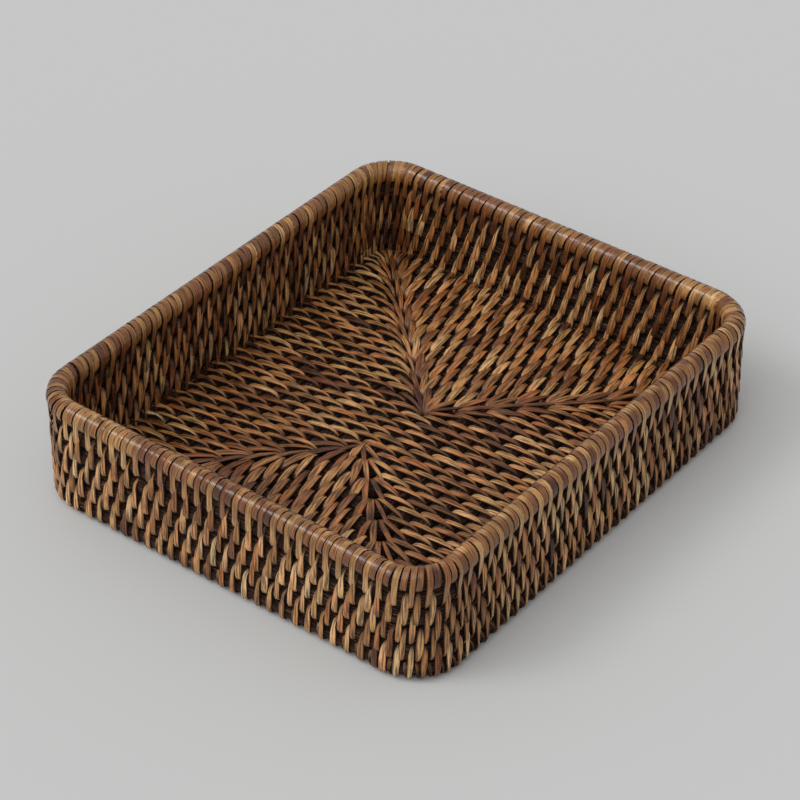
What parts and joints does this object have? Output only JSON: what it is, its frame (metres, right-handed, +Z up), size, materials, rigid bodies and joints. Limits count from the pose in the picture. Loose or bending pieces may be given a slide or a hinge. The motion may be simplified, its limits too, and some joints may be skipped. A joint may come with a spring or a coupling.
{
  "type": "storage basket",
  "caption": "Shallow rectangular open basket with rounded corners: coiled round core rods bound together by lashed rattan strands, with a wrapped rim.",
  "frame": {"origin": "centre of the footprint, on the surface that the basket stands on", "axes": "+X along the long side, +Y along the short side, +Z up out of the opening"},
  "size_m": [0.271, 0.2376, 0.062],
  "materials": {
    "rattan_core": "matt, fibrous",
    "rattan_peel": "satin, split peel",
    "rim_peel": "varnished, satin"
  },
  "bodies": {
    "root": {"base_coil_01": "rattan_core", "base_coil_02": "rattan_core", "base_coil_03": "rattan_core", "base_coil_04": "rattan_core", "base_coil_05": "rattan_core", "base_coil_06": "rattan_core", "base_coil_07": "rattan_core", "base_coil_08": "rattan_core", "base_coil_09": "rattan_core", "base_coil_10": "rattan_core", "foot_coil": "rattan_core", "wall_coil_1": "rattan_core", "wall_coil_2": "rattan_core", "wall_coil_3": "rattan_core", "wall_coil_4": "rattan_core", "rim_rod": "rattan_core", "fold_lashing": "rattan_peel", "base_lashing_02": "rattan_peel", "base_lashing_03": "rattan_peel", "base_lashing_04": "rattan_peel", "base_lashing_05": "rattan_peel", "base_lashing_06": "rattan_peel", "base_lashing_07": "rattan_peel", "base_lashing_08": "rattan_peel", "base_lashing_09": "rattan_peel", "base_lashing_10": "rattan_peel", "foot_lashing": "rattan_peel", "wall_lashing_1": "rattan_peel", "wall_lashing_2": "rattan_peel", "wall_lashing_3": "rattan_peel", "wall_lashing_4": "rattan_peel", "rim_long_wraps": "rim_peel", "rim_short_wraps": "rim_peel"}
  },
  "joints": []
}
